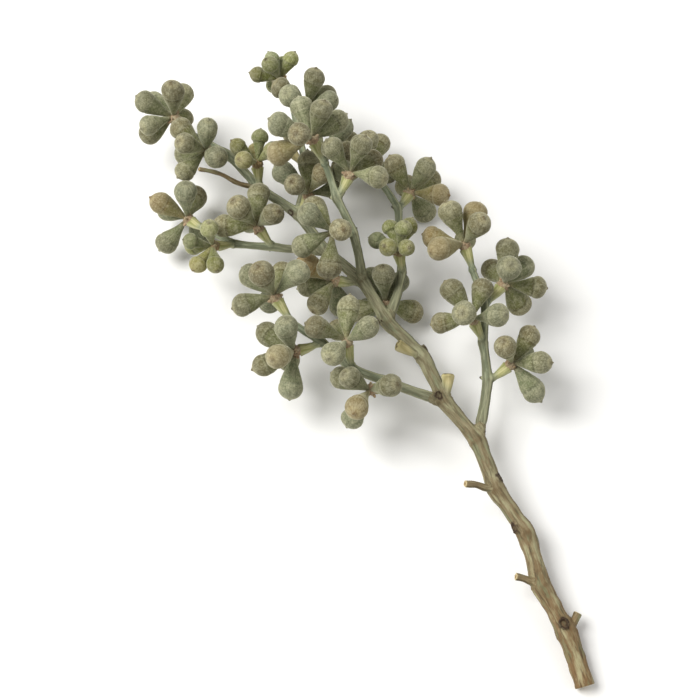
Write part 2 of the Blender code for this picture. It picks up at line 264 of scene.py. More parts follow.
def gapToRod(ball, rod):
    # a rod has a place and a radius at each end
    (a, radiusA), (b, radiusB) = rod
    nearest = (ball[0] - a).dot(b - a) / (b - a).length_squared
    nearest = min(max(nearest, 0), 1)
    radius = radiusA + (radiusB - radiusA) * nearest
    return (ball[0] - a.lerp(b, nearest)).length - ball[1] - radius


def rodsAlong(points, radii):
    ends = list(zip(points, radii))
    return list(zip(ends, ends[1:]))


def growLimbs():
    limbs, collars = {}, []
    for name, (parent, number, leaves, ends, internodes, r0, r1) in limbTable.items():
        start, internode = Vector((0, 0, 0)), growth["stemInternode"]
        if parent:
            point, radius, along = limbs[parent].node(number)
            direction = heading(*leaves)
            angle = along.angle(direction)
            reach = (radius + r0 * mm * cos(angle)) / sin(angle)
            reach += growth["collarMargin"]
            collars.append((point, direction, reach, (r0 * mm * growth["collarFlare"], r0 * mm)))
            start = point + direction * (reach + growth["gap"])
            internode = growth["shootInternode"]
        limbs[name] = Limb(start, leaves, ends, internodes, internode, r0, r1)
    return limbs, collars


def growUmbels(limbs):
    umbels = []
    rows = [(limbName, row) for limbName, table in umbelTable.items() for row in table]
    for limbName, (number, leaves, length, count, size) in rows:
        path = stalkPath(limbs[limbName].rootOfStalk(number), heading(*leaves), length * mm)
        direction = (path[-1] - path[-2]).normalized()
        foot = path[-1] + direction * growth["gap"]
        umbels.append({
            "limb": limbName, "stalk": path, "foot": foot, "direction": direction,
            "centre": foot + direction * padShape["height"] * padShape["centre"],
            "count": count, "size": size,
        })
    return umbels


def rodsOfWood(limbs, stalks):
    rods = []
    for limb in limbs.values():
        rods += rodsAlong(limb.points, limb.radii)
    for _, path, _ in stalks:
        rods += rodsAlong(path, stalkHalves(stalkShape["width"]))
    for limbName, number, leaves, length, radius in snagTable:
        point, ownRadius, _ = limbs[limbName].node(number)
        tip = point + heading(*leaves) * (ownRadius + length * mm)
        rods += rodsAlong([point, tip], [radius * mm, radius * mm])
    return rods


def isClear(balls, others, gapTo, least):
    return all(gapTo(ball, other) > least for ball in balls for other in others)


def growNuts(umbels, rods):
    # a nut that would touch something is turned aside, at random and further with each try
    taken = []
    narrowest, widest = nutShape["tiltDeg"]
    for number, umbel in enumerate(umbels):
        rng = random.Random(growth["seed"] * 100 + number)
        centre, own = umbel["centre"], []
        side = frameAt(centre, umbel["direction"]).to_3x3()
        pads = [
            ((other["foot"], padShape["radius"]), (other["centre"], padShape["radius"]))
            for other in umbels if other is not umbel
        ]
        nearRods = [rod for rod in rods + pads if (rod[0][0] - centre).length < nutShape["near"]]
        nearBalls = [ball for ball in taken if (ball[0] - centre).length < nutShape["near"]]
        firstTurn = rng.uniform(0, 360)
        for i in range(umbel["count"]):
            for attempt in range(nutShape["tries"]):
                wobble = nutShape["wobbleDeg"] + attempt
                tilt = widest * sqrt((i + 0.3) / (umbel["count"] - 0.5))
                tilt += rng.uniform(-wobble, wobble)
                tilt = radians(min(max(tilt, narrowest), widest))
                turn = firstTurn + i * nutShape["turnDeg"] + rng.uniform(-wobble, wobble)
                turn = radians(turn)
                across = Vector((cos(turn), sin(turn), 0)) * sin(tilt)
                direction = side @ (across + Vector((0, 0, cos(tilt))))
                size = umbel["size"] * rng.uniform(*nutShape["sizes"])
                balls = nutBalls(centre, direction, size)
                nearOwn = [ball for nut in own for ball in nut["balls"][2:]]
                clear, overlap = nutShape["clearance"], -nutShape["ownOverlap"]
                if (isClear(balls, nearRods, gapToRod, clear)
                        and isClear(balls, nearBalls, gapToBall, clear)
                        and isClear(balls[2:], nearOwn, gapToBall, overlap)):
                    own.append({"direction": direction, "size": size, "balls": balls,
                                "roll": rng.uniform(0, 2 * pi)})
                    break
        umbel["nuts"] = own
        taken += [ball for nut in own for ball in nut["balls"]]


limbs, collars = growLimbs()
umbels = growUmbels(limbs)
# of each stalk: limb, path, and whether its nuts have dropped
stalks = [(umbel["limb"], umbel["stalk"], False) for umbel in umbels]
for limbName, number, leaves, length in bareTable:
    path = stalkPath(limbs[limbName].node(number)[0], heading(*leaves), length * mm)
    stalks.append((limbName, path, True))
growNuts(umbels, rodsOfWood(limbs, stalks))
print("sprig grown, nuts:", sum(len(umbel["nuts"]) for umbel in umbels))


def deselect():
    bpy.ops.object.select_all(action="DESELECT")


def pickOnly(obj):
    deselect()
    obj.select_set(True)
    bpy.context.view_layer.objects.active = obj


def applyModifier(obj, kind, settings):
    modifier = obj.modifiers.new(kind.lower(), kind)
    for key, value in settings.items():
        setattr(modifier, key, value)
    pickOnly(obj)
    bpy.ops.object.modifier_apply(modifier=modifier.name)


def joined(name, parts):
    pickOnly(parts[0])
    for part in parts:
        part.select_set(True)
    bpy.ops.object.join()
    parts[0].name = name
    return parts[0]


def keepLargest(obj):
    # drops the specks and the linings of small hollows that a union or a remesh leaves behind
    pickOnly(obj)
    bpy.ops.object.mode_set(mode="EDIT")
    bpy.ops.mesh.select_all(action="SELECT")
    bpy.ops.mesh.separate(type="LOOSE")
    bpy.ops.object.mode_set(mode="OBJECT")
    name = obj.name
    shells = bpy.context.selected_objects
    *crumbs, largest = sorted(shells, key=lambda shell: len(shell.data.vertices))
    for crumb in crumbs:
        bpy.data.objects.remove(crumb)
    largest.name = name
    return largest


def fused(name, solids):
    # one skin from solids that overlap
    base, others = solids[0], solids[1:]
    group = bpy.data.collections.new(name)
    for obj in others:
        group.objects.link(obj)
    applyModifier(base, "BOOLEAN", {"operation": "UNION", "operand_type": "COLLECTION",
                                    "solver": "MANIFOLD", "collection": group})
    for obj in others:
        bpy.data.objects.remove(obj)
    bpy.data.collections.remove(group)
    base.name = name
    return keepLargest(base)


def copied(model, matrix):
    obj = model.copy()
    obj.data = model.data.copy()
    obj.data.transform(matrix)
    bpy.context.scene.collection.objects.link(obj)
    return obj


def coordinates(obj, what="co"):
    values = np.empty(len(obj.data.vertices) * 3)
    obj.data.vertices.foreach_get(what, values)
    return values.reshape(-1, 3)


def moveVertices(obj, places):
    obj.data.vertices.foreach_set("co", np.asarray(places).ravel())
    obj.data.update()


def noiseAt(places, size, offset=(0, 0, 0)):
    return np.array([noise.noise(Vector(place) / size + Vector(offset)) for place in places])


def giveValues(obj, **attributes):
    # one number for all vertices, or a number or a vector for each
    for name, values in attributes.items():
        isVector = np.ndim(values) == 2
        kind, field = ("FLOAT_VECTOR", "vector") if isVector else ("FLOAT", "value")
        layer = obj.data.attributes.get(name) or obj.data.attributes.new(name, kind, "POINT")
        values = values if isVector else np.full(len(obj.data.vertices), values)
        layer.data.foreach_set(field, np.asarray(values, dtype=float).ravel())


def turnedBody(name, stations, sides):
    # a circle, extruded from station to station: height, half width, half thickness
    deselect()
    height, wide, thick = stations[0]
    bpy.ops.mesh.primitive_circle_add(vertices=sides, radius=wide, fill_type="NGON")
    bpy.ops.object.mode_set(mode="EDIT")
    bpy.ops.mesh.select_all(action="SELECT")
    bpy.ops.transform.translate(value=(0, 0, height))
    bpy.ops.transform.resize(value=(1, thick / wide, 1), center_override=(0, 0, height))
    for nextHeight, nextWide, nextThick in stations[1:]:
        step = (0, 0, nextHeight - height)
        bpy.ops.mesh.extrude_region_move(TRANSFORM_OT_translate={"value": step})
        size = (nextWide / wide, nextThick / thick, 1)
        bpy.ops.transform.resize(value=size, center_override=(0, 0, nextHeight))
        height, wide, thick = nextHeight, nextWide, nextThick
    bpy.ops.mesh.select_all(action="SELECT")
    bpy.ops.mesh.normals_make_consistent(inside=False)
    bpy.ops.object.mode_set(mode="OBJECT")
    bpy.context.object.name = name
    return bpy.context.object


triangles = {}


def finished(obj, material, node, edgeDeg):
    # tips the piece into the resting pose, flattens what would go into the floor, hands it over
    tip = Euler((radians(tipDeg[0]), radians(tipDeg[1]), 0)).to_matrix().to_4x4()
    obj.data.transform(Matrix.Translation(shift) @ tip)
    places = coordinates(obj)
    places[:, 2] = np.maximum(places[:, 2], 0)
    moveVertices(obj, places)
    obj.data.materials.clear()
    obj.data.materials.append(material)
    pickOnly(obj)
    bpy.ops.object.shade_smooth_by_angle(angle=radians(edgeDeg))
    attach(obj, "root")
    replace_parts(obj, node)
    triangles[node] = sum(len(face.vertices) - 2 for face in obj.data.polygons)


def hexColour(code):
    parts = [int(code[i:i + 2], 16) / 255 for i in (1, 3, 5)]
    return [p / 12.92 if p <= 0.04045 else ((p + 0.055) / 1.055) ** 2.4 for p in parts] + [1]


usualOutput = {"Attribute": "Fac", "Mix": 2, "TexCoord": "Object", "VectorMath": "Value"}


def addNode(tree, kind, settings, links=None, stops=()):
    # gives back the output that is used here, which is the first for most kinds
    node = tree.nodes.new("ShaderNode" + kind)
    if kind == "Mix":
        node.data_type = "RGBA"
    for key, value in settings.items():
        if isinstance(key, str) and hasattr(node, key):
            setattr(node, key, value)
        else:
            node.inputs[key].default_value = value
    for key, source in (links or {}).items():
        tree.links.new(source, node.inputs[key])
    for i, (place, code) in enumerate(stops):
        if i >= len(node.color_ramp.elements):
            node.color_ramp.elements.new(1)
        node.color_ramp.elements[i].position = place
        node.color_ramp.elements[i].color = hexColour(code)
    return node.outputs[usualOutput.get(kind, 0)]


def newMaterial(name, surface):
    material = bpy.data.materials.new(name)
    material.use_nodes = True
    tree = material.node_tree
    shader = tree.nodes["Principled BSDF"]
    for socket, value in surface.items():
        shader.inputs[socket].default_value = value
    return material, tree, shader


nutSkin = {
    # share of the way from the pad to the point: pad, neck, body, cap ring, cap, point
    "mature": ((0.0, "#a5876b"), (0.06, "#8a7f5a"), (0.28, "#74784a"), (0.58, "#7a7b4e"),
               (0.652, "#57522f"), (0.678, "#969371"), (0.74, "#7a7450"), (0.93, "#7b755a"),
               (0.975, "#a39a74"), (1.0, "#695a40")),
    "young": ((0.0, "#957a55"), (0.08, "#7f8145"), (0.50, "#7d8344"), (0.615, "#5b602a"),
              (0.64, "#979b60"), (0.70, "#838848"), (0.93, "#8a8b52"), (0.975, "#a09f69"),
              (1.0, "#5c5230")),
    "scurf": "#bab797",
    "glaucous": "#869178",
    "brown": "#7d694c",
    "dark": "#4b4a30",
    "blush": "#8c6a3c",
    "attributes": ("alongNut", "tone", "bloom", "roundNut"),
    # vector it follows, or else the place in space; size, stretch, detail, roughness
    "noises": {
        "patches": (None, 3.4 * mm, 1, 5, 0.65),  # of thick scurf
        "grain": (None, 0.9 * mm, 1, 3, 0.75),  # real scurf is finer, and would not show
        "lines": ("roundNut", 1.0 * mm, 1, 2, 0.6),  # faint, along the body
    },
    # what it follows, where it starts, where it is full, and its share there
    "shares": {"waxy": ("bloom", 0.35, 1.0, 0.55), "dry": ("bloom", 0.40, 0.0, 0.36),
               "head": ("alongNut", 0.45, 0.75, 1.0), "thick": ("patches", 0.44, 0.70, 0.62),
               "powder": ("grain", 0.50, 0.68, 0.55), "worn": ("grain", 0.50, 0.33, 0.50),
               "line": ("lines", 0.52, 0.36, 0.35), "ripe": ("tone", 0.86, 1.0, 0.42)},
    "layers": (("glaucous", "waxy"), ("brown", "dryHead"), ("scurf", "thick"),
               ("scurf", "powder"), ("dark", "worn"), ("dark", "line"), ("blush", "ripe")),
    "shade": {"To Min": 0.70, "To Max": 1.10},  # of the darkest and the palest nut
    "bump": {"Strength": 0.6, "Distance": 0.25 * mm},
    "surface": {"Roughness": 0.85, "Specular IOR Level": 0.2, "Sheen Weight": 0.75,
                "Sheen Roughness": 0.40, "Sheen Tint": hexColour("#d6d4ba")},
}


def addReads(tree, skin):
    # nodes for attributes, for noises, and for the shares that follow either
    reads = {of: addNode(tree, "Attribute", {"attribute_name": of}) for of in skin["attributes"]}
    for name, (of, size, stretch, detail, roughness) in skin["noises"].items():
        place = reads[of].node.outputs["Vector"] if of else addNode(tree, "TexCoord", {})
        along = addNode(tree, "Mapping", {"Scale": (1, 1, stretch)}, {"Vector": place})
        reads[name] = addNode(
            tree, "TexNoise", {"Scale": 1 / size, "Detail": detail, "Roughness": roughness},
            {"Vector": along})
    for name, (of, start, full, most) in skin["shares"].items():
        reads[name] = addNode(
            tree, "MapRange", {"From Min": start, "From Max": full, "To Max": most},
            {"Value": reads[of]})
    return reads


def gumNutMaterial(name, stops):
    # waxy capsule skin under powdery, velvety scurf: dull and mottled, with pale edges
    material, tree, shader = newMaterial(name, nutSkin["surface"])
    reads = addReads(tree, nutSkin)
    reads["dryHead"] = addNode(tree, "Math", {"operation": "MULTIPLY"},
                               {0: reads["dry"], 1: reads["head"]})
    colour = addNode(tree, "ValToRGB", {}, {"Fac": reads["alongNut"]}, stops)
    for layer, share in nutSkin["layers"]:
        colour = addNode(tree, "Mix", {7: hexColour(nutSkin[layer])}, {0: reads[share], 6: colour})
    shade = addNode(tree, "MapRange", nutSkin["shade"], {"Value": reads["tone"]})
    shaded = addNode(tree, "Mix", {"blend_type": "MULTIPLY", 0: 1.0}, {6: colour, 7: shade})
    bump = addNode(tree, "Bump", nutSkin["bump"], {"Height": reads["grain"]})
    tree.links.new(shaded, shader.inputs["Base Color"])
    tree.links.new(bump, shader.inputs["Normal"])
    return material


barkSkin = {
    "young": "#687059",  # grey-green under a bloom
    "youngPale": "#959b80",
    "old": "#7a5f3e",
    "oldPale": "#a59c77",
    "oldGreen": "#7c7755",
    "oldDark": "#46341f",
    "node": "#5f4a2e",
    # painted highlight: pale on the crests of the blunt edges of young limbs and on the margins of
    # stalks
    "edge": "#b7b792",
    "stalk": "#8f9059",
    "stalkPale": "#bab584",
    "cut": "#c9b88c",
    "cutDark": "#806540",
    "scar": "#35261a",
    "attributes": ("age", "stalk", "edge", "cutEnd", "scar", "nodeMark", "grain"),
    # vector it follows, size across, stretch along the limb, detail, roughness
    "noises": {"streaks": ("grain", 1.2 * mm, 0.12, 4, 0.6),
               "blotches": ("grain", 4.5 * mm, 0.22, 5, 0.65)},
    # what it follows, where it starts, where it is full, and its share there
    "shares": {"pale": ("streaks", 0.46, 0.64, 1.0), "dark": ("streaks", 0.47, 0.33, 0.85),
               "blotch": ("blotches", 0.50, 0.64, 1.0), "green": ("blotches", 0.47, 0.38, 1.0)},
    "ring": 1.5 * mm,  # of the cut wood, wider than real growth rings, so that they show
    "ringWobble": 9,
    "ringShare": 0.5,
    "pith": (0.6 * mm, 0.84 * mm),  # full, and faded out
    "bump": {"Strength": 0.6, "Distance": 0.3 * mm},
    "surface": {"Roughness": 0.75, "Specular IOR Level": 0.25},
}


def barkMaterial():
    # thin smooth eucalyptus bark: bloomy grey-green when young, streaked tan and grey when old
    material, tree, shader = newMaterial("eucalyptusBark", barkSkin["surface"])
    reads = addReads(tree, barkSkin)
    # growth rings on the cut ends, from the distance to the middle
    grain = reads["grain"].node.outputs["Vector"]
    flat = addNode(tree, "Mapping", {"Scale": (1, 1, 0)}, {"Vector": grain})
    fromMiddle = addNode(tree, "VectorMath", {"operation": "LENGTH"}, {0: flat})
    perMetre = 2 * pi / barkSkin["ring"]
    turns = addNode(tree, "Math", {"operation": "MULTIPLY", 1: perMetre}, {0: fromMiddle})
    uneven = addNode(tree, "Math", {"operation": "MULTIPLY_ADD", 1: barkSkin["ringWobble"]},
                     {0: reads["blotches"], 2: turns})
    rings = addNode(tree, "Math", {"operation": "SINE"}, {0: uneven})
    ringShare = addNode(tree, "MapRange", {"From Min": -1.0, "To Max": barkSkin["ringShare"]},
                        {"Value": rings})
    pithFull, pithGone = barkSkin["pith"]
    pith = addNode(tree, "MapRange", {"From Min": pithGone, "From Max": pithFull},
                   {"Value": fromMiddle})
    reads["wood"] = addNode(tree, "Math", {"operation": "MAXIMUM"}, {0: ringShare, 1: pith})
    skins = {}
    for below, above, share in (("young", "youngPale", "pale"), ("old", "oldPale", "blotch"),
                                ("stalk", "stalkPale", "pale"), ("cut", "cutDark", "wood")):
        pair = {6: hexColour(barkSkin[below]), 7: hexColour(barkSkin[above])}
        skins[below] = addNode(tree, "Mix", pair, {0: reads[share]})
    for above, share in (("oldGreen", "green"), ("oldDark", "dark")):
        skins["old"] = addNode(tree, "Mix", {7: hexColour(barkSkin[above])},
                               {0: reads[share], 6: skins["old"]})
    colour = skins["young"]
    # among these, the pale on the crests and on the margins of stalks is a painted highlight
    for attribute, layer in (("age", "old"), ("nodeMark", "node"), ("stalk", "stalk"),
                             ("edge", "edge"), ("cutEnd", "cut"), ("scar", "scar")):
        settings, links = {}, {0: reads[attribute], 6: colour}
        if layer in skins:
            links[7] = skins[layer]
        else:
            settings[7] = hexColour(barkSkin[layer])
        colour = addNode(tree, "Mix", settings, links)
    bump = addNode(tree, "Bump", barkSkin["bump"], {"Height": reads["streaks"]})
    tree.links.new(colour, shader.inputs["Base Color"])
    tree.links.new(bump, shader.inputs["Normal"])
    return material


bark = barkMaterial()
matureSkin = gumNutMaterial("velvetyGumNut", nutSkin["mature"])
youngSkin = gumNutMaterial("youngGumNut", nutSkin["young"])
print("materials made")


# the forms of nuts: share of the length, share of the radius
matureForms = (
    ((0.02, 0.12), (0.08, 0.18), (0.16, 0.27), (0.26, 0.40), (0.36, 0.555), (0.45, 0.70),
     (0.53, 0.82), (0.60, 0.905), (0.640, 0.945), (0.655, 0.925), (0.672, 0.955), (0.71, 0.995),
     (0.76, 1.02), (0.81, 1.00), (0.86, 0.935), (0.905, 0.825), (0.94, 0.69), (0.967, 0.53),
     (0.985, 0.36), (0.995, 0.22), (1.010, 0.12), (1.025, 0.05)),
    ((0.02, 0.12), (0.09, 0.17), (0.18, 0.24), (0.28, 0.35), (0.38, 0.49), (0.47, 0.64),
     (0.55, 0.78), (0.61, 0.87), (0.645, 0.905), (0.660, 0.88), (0.677, 0.93), (0.72, 1.00),
     (0.77, 1.03), (0.82, 1.01), (0.87, 0.94), (0.91, 0.83), (0.945, 0.68), (0.97, 0.51),
     (0.987, 0.34), (0.997, 0.21), (1.015, 0.13), (1.035, 0.05)),
    ((0.02, 0.13), (0.08, 0.20), (0.16, 0.31), (0.26, 0.46), (0.36, 0.61), (0.45, 0.75),
     (0.53, 0.865), (0.59, 0.935), (0.625, 0.965), (0.640, 0.945), (0.657, 0.97), (0.70, 1.00),
     (0.745, 1.01), (0.79, 0.98), (0.835, 0.91), (0.88, 0.80), (0.92, 0.66), (0.955, 0.49),
     (0.98, 0.31), (1.000, 0.18), (1.020, 0.10), (1.040, 0.04)),
)
youngForms = (
    ((0.02, 0.13), (0.10, 0.20), (0.22, 0.32), (0.35, 0.46), (0.47, 0.60), (0.56, 0.70),
     (0.60, 0.735), (0.615, 0.77), (0.635, 0.90), (0.67, 0.985), (0.73, 1.02), (0.79, 1.0),
     (0.85, 0.92), (0.90, 0.79), (0.94, 0.62), (0.97, 0.44), (0.99, 0.26), (1.0, 0.15),
     (1.015, 0.09), (1.03, 0.04)),
    ((0.02, 0.13), (0.10, 0.21), (0.22, 0.35), (0.35, 0.51), (0.46, 0.66), (0.54, 0.77),
     (0.59, 0.82), (0.605, 0.83), (0.625, 0.91), (0.66, 0.965), (0.72, 0.99), (0.78, 0.97),
     (0.84, 0.89), (0.89, 0.76), (0.93, 0.61), (0.965, 0.43), (0.985, 0.27), (1.0, 0.16),
     (1.015, 0.10), (1.035, 0.04)),
)
nutModel = {
    "sides": 28,
    "ribs": 5,
    "ribDepth": 0.022,
    "ribEnd": 0.66,  # share of the length
    "lump": 0.07,  # share of the radius by which a nut is out of round
    "lumpSize": 7 * mm,
    "lumpShift": 9.1,  # from one form to the next
    "bend": 0.05,  # share of the length
    "bendWays": (-0.35, 0.5),  # every other form bends the other way
    "lineRise": 0.08,  # low, so that the faint lines run along the body
}


def makeNut(name, form, kind):
    reach, radius = nutShape["length"], nutShape["radius"]
    stations = [(along * reach, share * radius, share * radius) for along, share in form]
    nut = turnedBody(name, stations, nutModel["sides"])
    places = coordinates(nut)
    along = places[:, 2] / reach
    angle = np.arctan2(places[:, 1], places[:, 0])
    ribWindow = np.clip(np.sin(np.clip(along / nutModel["ribEnd"], 0, 1) * pi), 0, 1)
    swell = 1 + nutModel["ribDepth"] * ribWindow * np.cos(nutModel["ribs"] * angle + kind)
    lumps = noiseAt(places, nutModel["lumpSize"], (kind * nutModel["lumpShift"], 0, 0))
    swell *= 1 + nutModel["lump"] * lumps
    places[:, :2] *= swell[:, None]
    bow = nutModel["bend"] * reach * np.sin(along * pi)
    places[:, 0] += bow * nutModel["bendWays"][kind % 2]
    moveVertices(nut, places)
    # for the lines: the place on a ring of even size, and a little of the height
    rise = along * reach * nutModel["lineRise"] + kind
    ring = np.stack([np.cos(angle) * radius, np.sin(angle) * radius, rise], 1)
    giveValues(nut, alongNut=np.clip(along, 0, 1), roundNut=ring)
    return nut


padLook = {
    # share of the height, share of the radius
    "profile": ((-0.22, 0.80), (0.05, 0.92), (0.22, 1.0), (0.45, 1.03), (0.66, 0.96),
                (0.84, 0.78), (0.97, 0.5)),
    "sides": 24,
    "bump": 0.22,  # share of the radius
    "bumpSize": 1.2 * mm,
    "tone": 0.7,
}


def makePad():
    # low dome with the scars of dropped nuts as bumps
    radius, height = padShape["radius"], padShape["height"]
    stations = [(rise * height, share * radius, share * radius * padShape["thickness"])
                for rise, share in padLook["profile"]]
    pad = turnedBody("pad", stations, padLook["sides"])
    places = coordinates(pad)
    places[:, :2] *= 1 + padLook["bump"] * noiseAt(places, padLook["bumpSize"])[:, None]
    moveVertices(pad, places)
    giveValues(pad, alongNut=0, roundNut=places)
    return pad


# what is left of bracts and dropped nuts round a pad
stubLook = {
    "count": 5,
    # distance from the middle of the pad, half width, half thickness
    "profile": ((1.6 * mm, 1.0 * mm, 0.75 * mm), (2.9 * mm, 0.95 * mm, 0.65 * mm),
                (3.7 * mm, 0.80 * mm, 0.50 * mm), (4.3 * mm, 0.35 * mm, 0.25 * mm)),
    "sides": 12,
    "stray": 0.3,  # share of the way to the next stub
    "leanDeg": (60, 100),
    "rise": 0.35,  # share of the height of the pad
    "sizes": (0.85, 1.2),
    "tone": (0.75, 1.0),
}


def makeStub():
    stub = turnedBody("stub", stubLook["profile"], stubLook["sides"])
    giveValues(stub, alongNut=0, roundNut=coordinates(stub))
    return stub


stalkModelLook = {"stations": 14, "sides": 20}


def makeStalk():
    # straight for now, 1 long, and flared; each copy is bent along its own path
    stations = []
    for i in range(stalkModelLook["stations"] + 1):
        share = i / stalkModelLook["stations"]
        stations.append((share, stalkHalf(stalkShape["width"], share),
                         stalkHalf(stalkShape["thickness"], share)))
    return turnedBody("stalk", stations, stalkModelLook["sides"])


matureNuts = [makeNut("matureNut", form, kind) for kind, form in enumerate(matureForms)]
youngNuts = [makeNut("youngNut", form, kind) for kind, form in enumerate(youngForms)]
padModel, stubModel, stalkModel = makePad(), makeStub(), makeStalk()
models = matureNuts + youngNuts + [padModel, stubModel, stalkModel]
print("models of nut, pad, stub and stalk made")


umbelLook = {
    "scurfSize": 1.4 * mm,
    "scurfHeight": 0.09 * mm,
    "edgeDeg": 60,
}


def roughenNuts(obj):
    places, normals = coordinates(obj), coordinates(obj, "normal")
    scurf = noiseAt(places, umbelLook["scurfSize"])
    moveVertices(obj, places + normals * umbelLook["scurfHeight"] * scurf[:, None])


def buildUmbel(name, umbel, number, nuts, skin, slot):
    rng, rngStub = random.Random(number), random.Random(growth["seed"] + number)
    padFrame = frameAt(umbel["foot"], umbel["direction"])
    parts = [copied(padModel, padFrame)]
    giveValues(parts[0], tone=padLook["tone"], bloom=0)
    stubFrame = padFrame @ Matrix.Translation((0, 0, stubLook["rise"] * padShape["height"]))
    for k in range(stubLook["count"]):
        stray = rngStub.uniform(-stubLook["stray"], stubLook["stray"])
        turn = radians((k + stray) * 360 / stubLook["count"])
        lean = radians(rngStub.uniform(*stubLook["leanDeg"]))
        place = stubFrame @ Matrix.Rotation(turn, 4, "Z") @ Matrix.Rotation(lean, 4, "Y")
        size = rngStub.uniform(*stubLook["sizes"])
        parts.append(copied(stubModel, place @ Matrix.Scale(size, 4)))
        giveValues(parts[-1], tone=rngStub.uniform(*stubLook["tone"]), bloom=0)
    for nut in umbel["nuts"]:
        place = frameAt(umbel["centre"], nut["direction"]) @ Matrix.Rotation(nut["roll"], 4, "Z")
        parts.append(copied(rng.choice(nuts), place @ Matrix.Scale(nut["size"], 4)))
        giveValues(parts[-1], tone=rng.random(), bloom=rng.random())
    piece = fused(name + "_fine", parts)
    roughenNuts(piece)
    finished(piece, skin, name, umbelLook["edgeDeg"])


umbelKinds = {"nut_umbel": (matureNuts, matureSkin, "gum_nut"),
              "young_umbel": (youngNuts, youngSkin, "young_nut")}
counts = dict.fromkeys(umbelKinds, 0)
for number, umbel in enumerate(umbels):
    kind = "young_umbel" if umbel["size"] < nutShape["youngSize"] else "nut_umbel"
    counts[kind] += 1
    buildUmbel(f"{kind}_{counts[kind]:02d}", umbel, number, *umbelKinds[kind])
print("umbels built:", counts)


limbLook = {
    "voxel": {"stem": 0.48 * mm, "shoot": 0.42 * mm},
    "relax": {"iterations": 3, "factor": 0.5},
    "edgeDeg": 50,
    "tubeSteps": 5,
    "buried": 3.0 * mm,  # how far a shoot runs back into its collar
    "knuckle": 1.10,
    "collar": (1.15, 1.05),  # how much wider it starts, and its middle
    # at the foot of a stalk: radius, and way beyond the skin of the limb
    "foot": ((2.5 * mm, -1.5 * mm), (2.1 * mm, 0.6 * mm), (1.4 * mm, 2.8 * mm)),
    # heights are for young and for old bark
    "ridge": {"width": 1.5 * mm, "stretch": 0.10, "crest": 0.4, "groove": 2,
              "height": (0.06 * mm, 0.30 * mm)},
    "lump": {"size": 6 * mm, "height": (0.12 * mm, 0.55 * mm)},
    "edges": {"count": 3, "depth": (0.05, 0.02)},  # blunt edges that run along a limb
    "nodeRing": {"width": 2.2 * mm, "height": (0.16 * mm, 0.45 * mm), "patch": 3.5 * mm,
                 "least": 0.02, "mean": 0.35, "contrast": 1.6, "tone": (0.15, 0.6)},
}


def addTube(made, points, radii):
    deselect()
    bpy.ops.curve.primitive_bezier_curve_add()
    curve = bpy.context.object
    knots = curve.data.splines[0].bezier_points
    knots.add(len(points) - 2)
    for knot, point, radius in zip(knots, points, radii):
        knot.co = point
        knot.handle_left_type = knot.handle_right_type = "AUTO"
        knot.radius = radius / mm
    curve.data.bevel_depth = mm
    curve.data.bevel_resolution = curve.data.resolution_u = limbLook["tubeSteps"]
    curve.data.use_fill_caps = True
    bpy.ops.object.convert(target="MESH")
    made["parts"].append(bpy.context.object)


def bentStalk(path):
    frames = framesAlong(path)
    stalk = copied(stalkModel, Matrix())
    places = coordinates(stalk)
    last = len(path) - 1
    for i, (x, y, share) in enumerate(places):
        station = min(int(share * last), last - 1)
        low, high = (turn @ Vector((x, y, 0)) for turn in frames[station:station + 2])
        places[i] = low.lerp(high, share * last - station)
    moveVertices(stalk, places)
    return stalk


def nodesInside(limb):
    return range(1, (len(limb.points) - 1) // growth["steps"])


skinLook = {
    "sample": 1.5 * mm,  # distance of the points that a vertex is compared with
    "nearAll": 6,
    "nearLimb": 3,
    "blend": 5 * mm,  # over which the skin of a limb passes into that of a stalk
    "stemAge": (0.97, 0.9),  # what the age loses towards the tip, and how fast
    "shootAge": 0.30,
    # where the painted highlight on the crests of blunt edges starts, and over how much it comes
    # in
    "paleEdge": {"limb": (0.72, 0.28), "stalk": (0.62, 0.25)},
    # how strong the painted highlight on the crests is
    "edgeTone": 0.6,
    "cutDepth": 0.4 * mm,
    "cutShare": 0.93,  # of the radius; bark is left round it
}


def samplesAlong(points, radii, skin):
    # points every few steps along a path: place, radius, distance, frame, skin
    frames = framesAlong(points)
    samples, travelled = [], 0
    for i, (start, end) in enumerate(zip(points, points[1:])):
        length = (end - start).length
        count = max(int(length / skinLook["sample"]), 1)
        for k in range(count):
            share = k / count
            samples.append((start.lerp(end, share), radii[i] + (radii[i + 1] - radii[i]) * share,
                            travelled + length * share, frames[i].to_3x3(), skin))
        travelled += length
    samples.append((points[-1], radii[-1], travelled, frames[-1].to_3x3(), skin))
    return samples, travelled


def fromAxis(places, point, direction):
    # the way along an axis, and the distance from it
    offset = places - np.array(point)
    along = offset @ np.array(direction)
    return along, np.linalg.norm(offset - along[:, None] * np.array(direction), axis=1)


